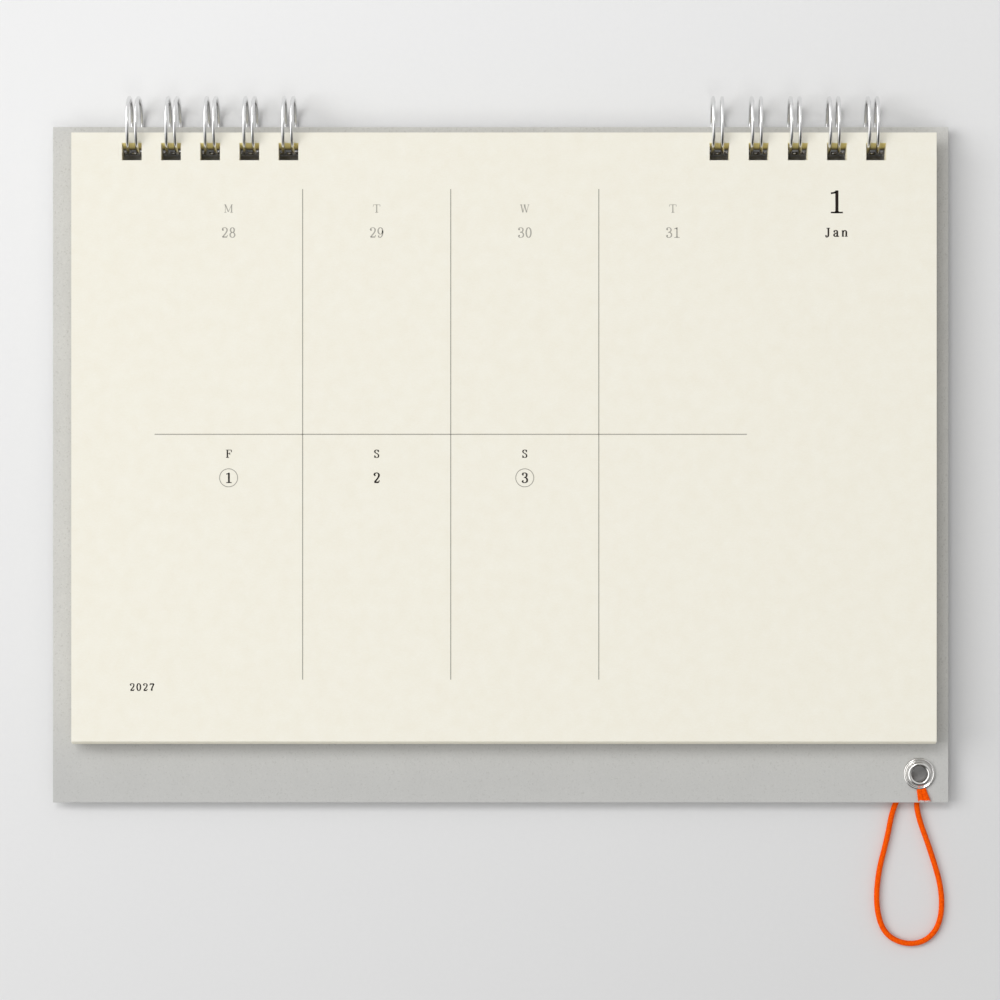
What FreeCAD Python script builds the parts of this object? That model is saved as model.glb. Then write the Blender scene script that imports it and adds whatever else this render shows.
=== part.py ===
import FreeCAD, Part
import math
import os

# Wall calendar: a pad of sheets and a stiff grey board, bound by two twin-loop wire combs
# that also hang it on the wall. An eyelet in the board's lower right corner clamps both ends
# of an elastic cord, whose loop hangs behind the board.
# Millimetres. X runs right, Y into the wall and Z up. The origin is on the axis of the wire
# rings, midway between the two combs.

Vector = FreeCAD.Vector
AXIS_X = Vector(1, 0, 0)
AXIS_Y = Vector(0, 1, 0)

# Wire combs
finger_pitch = 25.4 / 3
fingers_per_comb = 5
comb_spacing = 127.0
wire_diameter = 0.8
ring_bore = 11.3
leg_spacing = 2.0
root_bend_radius = 1.0
comb_end_length = 0.9
tip_set_back = 0.3

# Pad of sheets
page_width = 187.0
page_height = 131.6
pad_thickness = 5.4
pad_front_reach = 3.6
page_hole_width = 4.3
page_hole_height = 3.95
page_hole_margin = 2.26
page_hole_clearance = 0.32
punch_overrun = 0.2

# Back board
seam_gap = 1.1
board_thickness = 1.8
board_top_margin = 1.8
board_left_margin = 4.7
board_right_margin = 3.3
board_bottom_margin = 13.7
board_hole_width = 4.2
board_hole_clearance = 0.53

# Eyelet and its washer
eyelet_side_margin = 6.4
eyelet_bottom_margin = 6.27
eyelet_bore = 3.4
eyelet_wall = 0.25
eyelet_head_diameter = 6.6
eyelet_head_height = 0.9
eyelet_head_flank = 0.27
rolled_lip_diameter = 5.2
rolled_lip_flank = 0.27
washer_diameter = 6.9
washer_thickness = 0.6
washer_edge_radius = 0.3
eyelet_fit_clearance = 0.05

# Elastic cord
cord_diameter = 1.2
cord_end_gap = 0.04
cord_end_lap = 0.65
cord_end_length = 2.8
cord_end_top_size = (0.9, 0.5)
cord_end_bottom_size = (1.2, 0.85)
cord_end_drifts = (0.45, 1.05)
cord_ends_offset = 0.35

# Print on the front sheet
ink_thickness = 0.05
rule_width = 0.2
grid_left_margin = 18.0
grid_top_margin = 12.23
column_width = 32.0
column_count = 4
row_height = 53.0
row_count = 2
weekday_drop = 4.35
weekday_height = 1.8
date_drop = 9.5
date_height = 2.2
date_ring_radius = 1.95
month_offset = 21.55
month_digit_drop = 15.03
month_digit_height = 5.0
month_name_drop = 21.53
month_name_height = 2.0
year_drop = 1.6
year_height = 1.6
letter_width_share = 0.62
letter_gap_share = 0.2
stroke_share = 0.1

# Derived places
wire_radius = wire_diameter / 2
ring_inner = ring_bore / 2
ring_radius = ring_inner + wire_radius
ring_outer = ring_inner + wire_diameter
pad_front = -pad_front_reach
pad_back = pad_front + pad_thickness
board_front = pad_back + seam_gap
board_back = board_front + board_thickness
seam_depth = pad_back + seam_gap / 2
hole_top = page_hole_clearance - math.sqrt(ring_inner ** 2 - pad_front_reach ** 2)
page_top = hole_top + page_hole_margin
page_bottom = page_top - page_height
page_left = -page_width / 2
page_right = page_width / 2
board_left = page_left - board_left_margin
board_right = page_right + board_right_margin
board_top = page_top + board_top_margin
board_bottom = page_bottom - board_bottom_margin
eyelet_x = board_right - eyelet_side_margin
eyelet_z = board_bottom + eyelet_bottom_margin
barrel_inner = eyelet_bore / 2
barrel_outer = barrel_inner + eyelet_wall
washer_front = board_front - washer_thickness
grid_left = page_left + grid_left_margin
grid_top = page_top - grid_top_margin

# Route of the elastic loop: steps right, back and up from the eyelet's middle on the
# board's back face, down the left strand, round the bottom and up the right strand.
loop_route = [
    (-2.05, 0.65, -2.05),
    (-4.2, 0.7, -4.8),
    (-5.8, 0.8, -8.4),
    (-7.1, 0.9, -14.2),
    (-9.2, 0.95, -22.2),
    (-9.3, 0.9, -29.7),
    (-7.5, 0.85, -35.2),
    (-3.2, 0.8, -37.5),
    (1.6, 0.85, -36.9),
    (4.8, 0.9, -33.0),
    (5.2, 0.95, -25.7),
    (2.5, 0.9, -16.7),
    (-0.1, 0.8, -9.7),
    (-0.5, 0.7, -5.8),
    (0.3, 0.65, -2.9),
]


def box(low, high):
    size = high - low
    return Part.makeBox(size.x, size.y, size.z, low)


def side_profile(points_and_arcs, left, right):
    # A closed outline in the Y-Z plane, drawn at x = left and pushed out to x = right.
    face = Part.Face(Part.Wire(points_and_arcs))
    return face.extrude(Vector(right - left, 0, 0))


def line(a, b):
    return Part.LineSegment(a, b).toShape()


def arc(a, middle, b):
    return Part.Arc(a, middle, b).toShape()


def fan_drop(y):
    # How far a sheet at depth y hangs below the front sheet, as the sheets hang on round rings.
    return math.sqrt(ring_outer ** 2 - y ** 2) - math.sqrt(ring_outer ** 2 - pad_front_reach ** 2)


def fanned_slab(left, right, top, bottom, front, back):
    # A slab through the pad whose upper and lower faces follow the fan of the sheets.
    def point(y, z):
        return Vector(left, y, z - fan_drop(y))

    middle = (front + back) / 2
    edges = [
        line(point(front, bottom), point(front, top)),
        arc(point(front, top), point(middle, top), point(back, top)),
        line(point(back, top), point(back, bottom)),
        arc(point(back, bottom), point(middle, bottom), point(front, bottom)),
    ]
    return side_profile(edges, left, right)


def finger_centres(comb_x):
    first = comb_x - finger_pitch * (fingers_per_comb - 1) / 2
    return [first + finger_pitch * i for i in range(fingers_per_comb)]


def comb_middles():
    return [-comb_spacing / 2, comb_spacing / 2]


def all_fingers():
    return [x for comb_x in comb_middles() for x in finger_centres(comb_x)]


def page_block():
    block = fanned_slab(page_left, page_right, page_top, page_bottom, pad_front, pad_back)
    half = page_hole_width / 2
    hole_bottom = hole_top - page_hole_height
    punch_front = pad_front - punch_overrun
    punch_back = pad_back + punch_overrun
    holes = []
    for x in all_fingers():
        holes.append(fanned_slab(x - half, x + half, hole_top, hole_bottom, punch_front, punch_back))
    return block.cut(Part.makeCompound(holes))


def back_board():
    board = box(Vector(board_left, board_front, board_bottom), Vector(board_right, board_back, board_top))
    top = board_hole_clearance - math.sqrt(ring_inner ** 2 - board_back ** 2)
    bottom = -board_hole_clearance - math.sqrt(ring_outer ** 2 - board_front ** 2)
    half = board_hole_width / 2
    cuts = [box(Vector(x - half, board_front, bottom), Vector(x + half, board_back, top)) for x in all_fingers()]
    hole_radius = barrel_outer + eyelet_fit_clearance
    start = Vector(eyelet_x, board_front, eyelet_z)
    cuts.append(Part.makeCylinder(hole_radius, board_thickness, start, AXIS_Y))
    return board.cut(Part.makeCompound(cuts))


def on_ring(x, angle):
    # A point of the wire's centre line, its angle counted from the ring's bottom to the back.
    return Vector(x, ring_radius * math.sin(angle), -ring_radius * math.cos(angle))


def along_ring(angle):
    return Vector(0, math.cos(angle), math.sin(angle))


def root_angle():
    reach = math.hypot(ring_radius, root_bend_radius)
    return math.atan2(root_bend_radius, ring_radius) + math.asin(seam_depth / reach)


def tip_angle():
    turn = leg_spacing / 2
    reach = math.hypot(ring_radius, turn)
    apex = seam_depth - tip_set_back
    return 2 * math.pi + math.asin(apex / reach) - math.atan2(turn, ring_radius)


def leg_edge(x, start, end):
    return arc(on_ring(x, start), on_ring(x, (start + end) / 2), on_ring(x, end))


def root_bend(x, side):
    # Quarter turn from the root line at the seam into a leg; side is where the root lies.
    angle = root_angle()
    leg_foot = on_ring(x, angle)
    root_point = leg_foot - along_ring(angle) * root_bend_radius + AXIS_X * side * root_bend_radius
    centre = leg_foot + AXIS_X * side * root_bend_radius
    middle = centre + (leg_foot - centre + root_point - centre).normalize() * root_bend_radius
    return root_point, middle, leg_foot


def finger_edges(x):
    # One finger of the comb: up the back, over the top, down the front and back beside itself.
    half = leg_spacing / 2
    start = root_angle()
    end = tip_angle()
    left_root, left_middle, left_foot = root_bend(x - half, -1)
    right_root, right_middle, right_foot = root_bend(x + half, 1)
    tip = on_ring(x, end) + along_ring(end) * half
    return [
        arc(left_root, left_middle, left_foot),
        leg_edge(x - half, start, end),
        arc(on_ring(x - half, end), tip, on_ring(x + half, end)),
        leg_edge(x + half, end, start),
        arc(right_foot, right_middle, right_root),
    ]


def comb_path(comb_x):
    edges = []
    half = leg_spacing / 2
    end_step = AXIS_X * comb_end_length
    centres = finger_centres(comb_x)
    first_root = root_bend(centres[0] - half, -1)[0]
    edges.append(line(first_root - end_step, first_root))
    for x, following in zip(centres, centres[1:]):
        edges.extend(finger_edges(x))
        edges.append(line(root_bend(x + half, 1)[0], root_bend(following - half, -1)[0]))
    edges.extend(finger_edges(centres[-1]))
    last_root = root_bend(centres[-1] + half, 1)[0]
    edges.append(line(last_root, last_root + end_step))
    return edges


def swept_rod(edges, radius):
    # A round rod along straight and arc edges that follow each other without a corner.
    first = edges[0]
    start = first.valueAt(first.FirstParameter)
    direction = first.tangentAt(first.FirstParameter)
    circle = Part.Wire(Part.makeCircle(radius, start, direction))
    return Part.Wire(edges).makePipeShell([circle], True, False)


def wire_comb(comb_x):
    return swept_rod(comb_path(comb_x), wire_radius)


def ring_profile(edges):
    # A closed outline in radius and depth, turned about the eyelet's own axis.
    face = Part.Face(Part.Wire(edges))
    ring = face.revolve(Vector(0, 0, 0), AXIS_Y, 360)
    ring.translate(Vector(eyelet_x, 0, eyelet_z))
    return ring


def eyelet():
    # Barrel through board and washer, a domed head behind and a lip rolled over in front.
    lip_radius = rolled_lip_diameter / 2
    roll = (lip_radius - barrel_inner) / 2
    lip_crown = washer_front - rolled_lip_flank - roll
    lip_edge = washer_front - rolled_lip_flank
    head_radius = eyelet_head_diameter / 2
    head_crown = board_back + eyelet_head_height
    head_edge = board_back + eyelet_head_flank

    def at(radius, depth):
        return Vector(radius, depth, 0)

    return ring_profile([
        line(at(barrel_inner, head_edge), at(barrel_inner, lip_edge)),
        arc(at(barrel_inner, lip_edge), at(barrel_inner + roll, lip_crown), at(lip_radius, lip_edge)),
        line(at(lip_radius, lip_edge), at(lip_radius, washer_front)),
        line(at(lip_radius, washer_front), at(barrel_outer, washer_front)),
        line(at(barrel_outer, washer_front), at(barrel_outer, board_back)),
        line(at(barrel_outer, board_back), at(head_radius, board_back)),
        line(at(head_radius, board_back), at(head_radius, head_edge)),
        arc(
            at(head_radius, head_edge),
            at((barrel_inner + head_radius) / 2, head_crown),
            at(barrel_inner, head_edge),
        ),
    ])


def eyelet_washer():
    inner = barrel_outer + eyelet_fit_clearance
    outer = washer_diameter / 2
    radius = washer_edge_radius
    bend = radius * math.sqrt(0.5)
    centre = Vector(outer - radius, washer_front + radius, 0)

    def at(reach, depth):
        return Vector(reach, depth, 0)

    return ring_profile([
        line(at(inner, board_front), at(inner, washer_front)),
        line(at(inner, washer_front), at(outer - radius, washer_front)),
        arc(at(outer - radius, washer_front), centre + Vector(bend, -bend, 0), at(outer, washer_front + radius)),
        line(at(outer, washer_front + radius), at(outer, board_front)),
        line(at(outer, board_front), at(inner, board_front)),
    ])


def rounded_path(points):
    # Straight runs joined by tangent arcs, each as large as its two runs allow.
    edges = []
    radii = []
    reached = points[0]
    for before, corner, after in zip(points, points[1:], points[2:]):
        into = (corner - before).normalize()
        out = (after - corner).normalize()
        half_turn = into.getAngle(out) / 2
        setback = 0.45 * min((corner - before).Length, (after - corner).Length)
        radius = setback / math.tan(half_turn)
        start = corner - into * setback
        end = corner + out * setback
        inward = (out - into).normalize()
        middle = corner + inward * (radius / math.cos(half_turn) - radius)
        edges.append(line(reached, start))
        edges.append(arc(start, middle, end))
        radii.append(radius)
        reached = end
    edges.append(line(reached, points[-1]))
    return edges, radii


def elastic_loop():
    origin = Vector(eyelet_x, board_back, eyelet_z)
    edges, radii = rounded_path([origin + Vector(*step) for step in loop_route])
    tube = swept_rod(edges, cord_diameter / 2)
    length = sum(edge.Length for edge in edges)
    section = math.pi * cord_diameter ** 2 / 4
    print("loop length", round(length, 2), "volume share", round(tube.Volume / (section * length), 5))
    print("loop radii", [round(radius, 1) for radius in radii])
    return tube


def flattened_ring(x, z, size):
    # The pressed section of a cord end, lying on the board's front face.
    width, thickness = size
    centre = Vector(x, board_front - thickness / 2, z)
    ellipse = Part.Ellipse(centre + AXIS_X * width / 2, centre + AXIS_Y * thickness / 2, centre)
    return Part.Wire(ellipse.toShape())


def elastic_ends():
    top = eyelet_z - washer_diameter / 2 + cord_end_lap
    bottom = top - cord_end_lap - cord_end_length
    spread = (cord_end_top_size[0] + cord_end_gap) / 2
    ends = []
    for side, drift in zip((-1, 1), cord_end_drifts):
        x = eyelet_x + cord_ends_offset + side * spread
        top_ring = flattened_ring(x, top, cord_end_top_size)
        bottom_ring = flattened_ring(x + drift, bottom, cord_end_bottom_size)
        ends.append(Part.makeLoft([top_ring, bottom_ring], True))
    return Part.makeCompound(ends)


def bar(a, b, width):
    # A straight stroke of ink between two points (x, z) of the front sheet.
    start = Vector(a[0], pad_front, a[1])
    end = Vector(b[0], pad_front, b[1])
    along = (end - start).normalize()
    across = along.cross(AXIS_Y) * (width / 2)
    tail = start - along * (width / 2)
    head = end + along * (width / 2)
    corners = [tail - across, head - across, head + across, tail + across, tail - across]
    return Part.Face(Part.makePolygon(corners)).extrude(AXIS_Y * -ink_thickness)


def on_front(centre, radius, angle):
    # The point of the front sheet at an angle, in degrees from +X, about a point (x, z).
    turn = math.radians(angle)
    return Vector(centre[0] + radius * math.cos(turn), pad_front, centre[1] + radius * math.sin(turn))


def ink_ring(centre, radius, width):
    middle = on_front(centre, 0, 0)
    outer = Part.Wire(Part.makeCircle(radius + width / 2, middle, AXIS_Y))
    inner = Part.Wire(Part.makeCircle(radius - width / 2, middle, AXIS_Y))
    face = Part.makeFace([outer, inner], "Part::FaceMakerBullseye")
    return face.extrude(AXIS_Y * -ink_thickness)


def bow(centre, radius, start, end, width):
    # A curved stroke of ink, its angles in degrees from +X.
    outer = radius + width / 2
    inner = radius - width / 2
    middle = (start + end) / 2
    outer_points = [on_front(centre, outer, angle) for angle in (start, middle, end)]
    inner_points = [on_front(centre, inner, angle) for angle in (end, middle, start)]
    edges = [
        arc(*outer_points),
        line(outer_points[2], inner_points[0]),
        arc(*inner_points),
        line(inner_points[2], outer_points[0]),
    ]
    return Part.Face(Part.Wire(edges)).extrude(AXIS_Y * -ink_thickness)


# Strokes of each figure and letter in a cell one high: bars from point to point, bows as
# (x, z, radius, start angle, end angle) and whole rings as (x, z, radius).
glyph_bars = {
    "0": [((0.08, 0.3), (0.08, 0.7)), ((0.54, 0.3), (0.54, 0.7))],
    "1": [((0.31, 0.05), (0.31, 0.95)), ((0.12, 0.8), (0.31, 0.95)), ((0.15, 0.05), (0.47, 0.05))],
    "2": [((0.08, 0.05), (0.56, 0.05)), ((0.08, 0.08), (0.48, 0.56))],
    "7": [((0.08, 0.95), (0.56, 0.95)), ((0.56, 0.95), (0.22, 0.05))],
    "9": [((0.53, 0.68), (0.25, 0.05))],
    "J": [((0.42, 0.3), (0.42, 0.95))],
    "a": [((0.52, 0.05), (0.52, 0.6))],
    "n": [((0.1, 0.05), (0.1, 0.6)), ((0.52, 0.05), (0.52, 0.4))],
    "M": [((0.04, 0.05), (0.04, 0.95)), ((0.04, 0.95), (0.31, 0.3)), ((0.31, 0.3), (0.58, 0.95)),
          ((0.58, 0.95), (0.58, 0.05))],
    "T": [((0.05, 0.95), (0.57, 0.95)), ((0.31, 0.95), (0.31, 0.05))],
    "W": [((0.0, 0.95), (0.16, 0.05)), ((0.16, 0.05), (0.31, 0.7)), ((0.31, 0.7), (0.46, 0.05)),
          ((0.46, 0.05), (0.62, 0.95))],
    "F": [((0.12, 0.05), (0.12, 0.95)), ((0.12, 0.95), (0.54, 0.95)), ((0.12, 0.52), (0.44, 0.52))],
}
glyph_bows = {
    "0": [(0.31, 0.7, 0.23, 0, 180), (0.31, 0.3, 0.23, 180, 360)],
    "2": [(0.31, 0.71, 0.22, -40, 170)],
    "3": [(0.3, 0.73, 0.2, -80, 160), (0.3, 0.29, 0.22, -160, 80)],
    "J": [(0.26, 0.25, 0.16, -170, 0)],
    "n": [(0.31, 0.39, 0.21, 0, 180)],
    "S": [(0.31, 0.73, 0.2, 20, 250), (0.31, 0.28, 0.2, -160, 70)],
}
glyph_rings = {
    "8": [(0.31, 0.72, 0.19), (0.31, 0.28, 0.22)],
    "9": [(0.31, 0.7, 0.22)],
    "a": [(0.31, 0.28, 0.2)],
}


def glyph(character, left, foot, height):
    width = height * stroke_share
    strokes = []
    for (ax, az), (bx, bz) in glyph_bars.get(character, []):
        start = (left + ax * height, foot + az * height)
        end = (left + bx * height, foot + bz * height)
        strokes.append(bar(start, end, width))
    for x, z, radius, start_angle, end_angle in glyph_bows.get(character, []):
        centre = (left + x * height, foot + z * height)
        strokes.append(bow(centre, radius * height, start_angle, end_angle, width))
    for x, z, radius in glyph_rings.get(character, []):
        strokes.append(ink_ring((left + x * height, foot + z * height), radius * height, width))
    joined = strokes[0]
    if len(strokes) > 1:
        joined = strokes[0].multiFuse(strokes[1:])
    return joined.removeSplitter()


def words(text, middle_x, middle_z, height):
    advance = height * (letter_width_share + letter_gap_share)
    left = middle_x - (advance * len(text) - height * letter_gap_share) / 2
    foot = middle_z - height / 2
    return [glyph(character, left + advance * i, foot, height) for i, character in enumerate(text)]


def grid_rules():
    right = grid_left + column_width * column_count
    bottom = grid_top - row_height * row_count
    uprights = [grid_left + column_width * i for i in range(1, column_count)]
    levels = [grid_top - row_height * i for i in range(1, row_count)]
    rules = [bar((x, grid_top), (x, bottom), rule_width) for x in uprights]
    rules.extend(bar((grid_left, z), (right, z), rule_width) for z in levels)
    joined = rules[0].multiFuse(rules[1:])
    return [joined.removeSplitter()]


def date_cells():
    printed = []
    rows = [[("M", "28"), ("T", "29"), ("W", "30"), ("T", "31")], [("F", "1"), ("S", "2"), ("S", "3")]]
    ringed = ("1", "3")
    for row, cells in enumerate(rows):
        top = grid_top - row_height * row
        for column, (weekday, date) in enumerate(cells):
            x = grid_left + column_width * (column + 0.5)
            printed.extend(words(weekday, x, top - weekday_drop, weekday_height))
            printed.extend(words(date, x, top - date_drop, date_height))
            if date in ringed:
                printed.append(ink_ring((x, top - date_drop), date_ring_radius, rule_width))
    return printed


def page_print():
    month_x = page_right - month_offset
    grid_bottom = grid_top - row_height * row_count
    year_x = grid_left - (letter_width_share + letter_gap_share) * year_height * 2
    printed = grid_rules() + date_cells()
    printed.extend(words("1", month_x, page_top - month_digit_drop, month_digit_height))
    printed.extend(words("Jan", month_x, page_top - month_name_drop, month_name_height))
    printed.extend(words("2027", year_x, grid_bottom - year_drop, year_height))
    return Part.makeCompound([solid for shape in printed for solid in shape.Solids])


def save(name, shape):
    valid = shape.isValid()
    print(name, "solids", len(shape.Solids), "valid", valid, "volume", round(shape.Volume, 2))
    shape.exportStep("parts/" + name + ".step")


os.makedirs("parts", exist_ok=True)
save("page_block", page_block())
save("page_print", page_print())
save("back_board", back_board())
for side, comb_x in zip(("left", "right"), comb_middles()):
    save("wire_comb_" + side, wire_comb(comb_x))
save("eyelet", eyelet())
save("eyelet_washer", eyelet_washer())
save("elastic_loop", elastic_loop())
save("elastic_ends", elastic_ends())
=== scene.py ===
import math
import random

import bmesh
import bpy
from mathutils import Matrix, Vector


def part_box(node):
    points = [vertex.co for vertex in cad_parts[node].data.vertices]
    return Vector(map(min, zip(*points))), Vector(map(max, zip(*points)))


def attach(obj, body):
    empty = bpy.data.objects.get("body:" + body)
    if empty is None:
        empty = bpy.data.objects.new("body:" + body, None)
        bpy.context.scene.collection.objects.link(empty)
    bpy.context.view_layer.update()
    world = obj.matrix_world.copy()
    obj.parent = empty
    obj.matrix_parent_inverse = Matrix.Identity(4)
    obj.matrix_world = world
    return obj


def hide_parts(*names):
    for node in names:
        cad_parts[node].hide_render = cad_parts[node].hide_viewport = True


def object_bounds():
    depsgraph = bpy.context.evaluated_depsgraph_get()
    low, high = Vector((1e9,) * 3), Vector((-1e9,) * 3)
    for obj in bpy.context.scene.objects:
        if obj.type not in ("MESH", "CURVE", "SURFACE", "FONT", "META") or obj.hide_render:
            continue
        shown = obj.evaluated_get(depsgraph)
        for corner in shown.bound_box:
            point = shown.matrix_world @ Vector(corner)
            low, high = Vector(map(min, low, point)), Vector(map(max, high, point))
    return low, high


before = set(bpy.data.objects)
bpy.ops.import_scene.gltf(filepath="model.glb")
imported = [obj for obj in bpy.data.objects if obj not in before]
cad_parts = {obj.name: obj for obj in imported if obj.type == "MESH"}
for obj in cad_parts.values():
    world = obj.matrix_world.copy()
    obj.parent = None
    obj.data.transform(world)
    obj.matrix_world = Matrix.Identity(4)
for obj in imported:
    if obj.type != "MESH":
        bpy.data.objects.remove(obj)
cad_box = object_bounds()
mm = 0.001

# The wall. The calendar hangs on a plain painted wall, whose roller nap shows as a faint
# mottle. It is one-sided and stops no light from behind, so that the calendar's back can be
# seen through it.
wall_gap = 0.1 * mm
wall_size = 6.0
# The wall's paint is painted lighter at the upper left and darker towards the lower right: a painted
# fall-off of light, with part of the calendar's shadow painted in on its right.
wall_painted_light_upper_left = (0.85, 0.85, 0.85)
wall_painted_shade_lower_right = (0.69, 0.69, 0.69)
painted_shade_per_mm_right = 0.0021
painted_shade_per_mm_down = 0.0034
painted_shade_at_middle = 0.14
nap_height = 0.02 * mm


class Field:
    """A number that changes over a surface, with the maths that a finish needs."""

    def __init__(self, finish, socket):
        self.finish = finish
        self.socket = socket

    def math(self, operation, *others):
        inputs = dict(enumerate([self, *others]))
        return self.finish.node("ShaderNodeMath", {"operation": operation}, inputs)

    def __add__(self, other):
        return self.math("ADD", other)

    __radd__ = __add__

    def __mul__(self, other):
        return self.math("MULTIPLY", other)

    __rmul__ = __mul__

    def __sub__(self, other):
        return self.math("SUBTRACT", other)

    def __rsub__(self, other):
        return (self * -1) + other


class Finish:
    """A material: one principled shader and the nodes that feed it."""

    def __init__(self, name, **sockets):
        self.material = bpy.data.materials.new(name)
        self.material.use_nodes = True
        self.tree = self.material.node_tree
        self.shader = self.tree.nodes["Principled BSDF"]
        self.output = self.tree.nodes["Material Output"]
        for socket, value in sockets.items():
            self.feed(self.shader, socket.replace("_", " "), value)

    @classmethod
    def of(cls, lit):
        """The same maths for the nodes of a world or a lamp."""
        made = cls.__new__(cls)
        made.tree = lit.node_tree
        return made

    def feed(self, node, socket, value):
        target = node.inputs[socket]
        if isinstance(value, Field):
            self.tree.links.new(value.socket, target)
        elif target.type == "RGBA":
            target.default_value = (*value, 1.0)
        else:
            target.default_value = value

    def node(self, kind, settings=None, inputs=None, output=0):
        made = self.tree.nodes.new(kind)
        for name, value in (settings or {}).items():
            if name == "stops":
                self.set_stops(made.color_ramp, value)
            else:
                setattr(made, name, value)
        for socket, value in (inputs or {}).items():
            self.feed(made, socket, value)
        return Field(self, made.outputs[output])

    def set_stops(self, ramp, stops):
        while len(ramp.elements) < len(stops):
            ramp.elements.new(0.5)
        for element, (position, grey) in zip(ramp.elements, stops):
            element.position = position
            element.color = (grey, grey, grey, 1.0)

    def place(self, scale=(1, 1, 1)):
        """Object coordinates in millimetres, stretched by scale."""
        coordinates = self.node("ShaderNodeTexCoord", output="Object")
        sizes = tuple(s / mm for s in scale)
        return self.node("ShaderNodeMapping", {}, {"Vector": coordinates, "Scale": sizes})

    def noise(self, scale, detail=2.0, roughness=0.5, stretch=(1, 1, 1), distortion=0.0):
        settings = {"noise_dimensions": "3D"}
        inputs = {
            "Vector": self.place(stretch),
            "Scale": scale,
            "Detail": detail,
            "Roughness": roughness,
            "Distortion": distortion,
        }
        return self.node("ShaderNodeTexNoise", settings, inputs)

    def parts(self, vector):
        """A vector's X, Y and Z, one by one."""
        split = {"Vector": vector}
        return [self.node("ShaderNodeSeparateXYZ", {}, split, output=axis) for axis in range(3)]

    def stops(self, field, stops):
        return self.node("ShaderNodeValToRGB", {"stops": stops}, {"Fac": field})

    def mix(self, factor, first, second):
        settings = {"data_type": "RGBA"}
        return self.node("ShaderNodeMix", settings, {0: factor, 6: first, 7: second}, output=2)

    def bump(self, height, distance, strength=1.0):
        inputs = {"Height": height, "Distance": distance, "Strength": strength}
        self.feed(self.shader, "Normal", self.node("ShaderNodeBump", {}, inputs))

    def colour(self, field):
        self.feed(self.shader, "Base Color", field)

    def rough(self, field):
        self.feed(self.shader, "Roughness", field)


def wall_finish():
    paint = Finish("wall_paint", Roughness=0.9)
    paint.shader.inputs["Specular IOR Level"].default_value = 0.2
    nap = paint.noise(0.9, detail=4.0)
    cloud = paint.noise(0.02, detail=3.0)
    across, depth, up = paint.parts(paint.place())
    # Painted shade: the wall's colour darkens to the right and downwards, standing in for the fall-off
    # of the light.
    painted_light_fall = across * painted_shade_per_mm_right - up * painted_shade_per_mm_down + painted_shade_at_middle
    paint.colour(paint.mix(painted_light_fall + cloud * 0.06 + nap * 0.1, wall_painted_light_upper_left, wall_painted_shade_lower_right))
    paint.bump(nap, nap_height)
    back = paint.node("ShaderNodeNewGeometry", output="Backfacing")
    clear = paint.node("ShaderNodeBsdfTransparent")
    shader = Field(paint, paint.shader.outputs[0])
    seen = paint.node("ShaderNodeMixShader", {}, {0: back, 1: shader, 2: clear})
    paint.feed(paint.output, "Surface", seen)
    return paint.material


def mesh_object(name, bm, *materials):
    mesh = bpy.data.meshes.new(name)
    bm.to_mesh(mesh)
    bm.free()
    made = bpy.data.objects.new(name, mesh)
    bpy.context.scene.collection.objects.link(made)
    for material in materials:
        mesh.materials.append(material)
    return made


def upright(width, height, centre):
    """Turns a unit sheet in X-Y to face the reader, at a centre, with a width and height."""
    turn = Matrix.Rotation(math.radians(90), 4, "X")
    return Matrix.Translation(centre) @ turn @ Matrix.Diagonal((width, height, 1, 1))


wall_mesh = bmesh.new()
wall_place = upright(wall_size, wall_size, Vector((0, cad_box[1].y + wall_gap, 0)))
bmesh.ops.create_grid(wall_mesh, x_segments=1, y_segments=1, size=0.5, matrix=wall_place)
wall = mesh_object("wall", wall_mesh, wall_finish())
wall.visible_shadow = False

# The camera stands square to the wall, 0.84 m in front of the front sheet. A soft box of
# light stands on the left, two weak ones hang overhead and stand low in front, and the pale
# room fills in the rest, all but the part of it that the camera's stand hides.
camera_place = Vector((-0.85, -844.0, -81.2)) * mm
camera_lens = 140.0
sensor_width = 36.0
light_target = Vector((0, 0, -0.08))
key_place = Vector((-1.47, -1.62, 0.23))
key_size = 1.35
key_power = 24.7
small_box_size = 0.6
overhead_place = Vector((-0.40, -1.88, 0.77))
overhead_power = 8.0
low_place = Vector((0.1, -1.9, -0.93))
low_power = 3.6
back_place = Vector((-0.5, 1.5, 0.3))
back_size = 1.0
back_power = 20.0

camera = bpy.data.objects.new("camera", bpy.data.cameras.new("camera"))
bpy.context.scene.collection.objects.link(camera)
camera.location = camera_place
camera.rotation_euler = (math.radians(90), 0, 0)
camera.data.lens = camera_lens
camera.data.sensor_width = sensor_width
camera.data.clip_start = 0.01
bpy.context.scene.camera = camera
bpy.context.scene.view_settings.view_transform = "Standard"


def soft_light(name, place, size, power):
    data = bpy.data.lights.new(name, "AREA")
    data.shape = "SQUARE"
    data.size = size
    data.energy = power
    light = bpy.data.objects.new(name, data)
    bpy.context.scene.collection.objects.link(light)
    light.location = place
    light.rotation_mode = "QUATERNION"
    light.rotation_quaternion = (light_target - place).to_track_quat("-Z", "Y")
    light.visible_camera = False
    return light


key_light = soft_light("left_soft_box", key_place, key_size, key_power)
soft_light("overhead_soft_box", overhead_place, small_box_size, overhead_power)
low_light = soft_light("low_soft_box", low_place, small_box_size, low_power)
back_light = soft_light("back_fill", back_place, back_size, back_power)
for unmirrored in (key_light, low_light, back_light):
    unmirrored.visible_glossy = False

# The lamp behind the wall is there for the calendar's back. It lights only what is seen
# straight on, so that none of it comes round the board's edges onto the front of the wall.
back_light.data.use_nodes = True
lamp = Finish.of(back_light.data)
first_hit = lamp.node("ShaderNodeLightPath", output="Ray Depth").math("LESS_THAN", 1.5)
lamp.feed(lamp.tree.nodes["Emission"], "Strength", first_hit)

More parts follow.
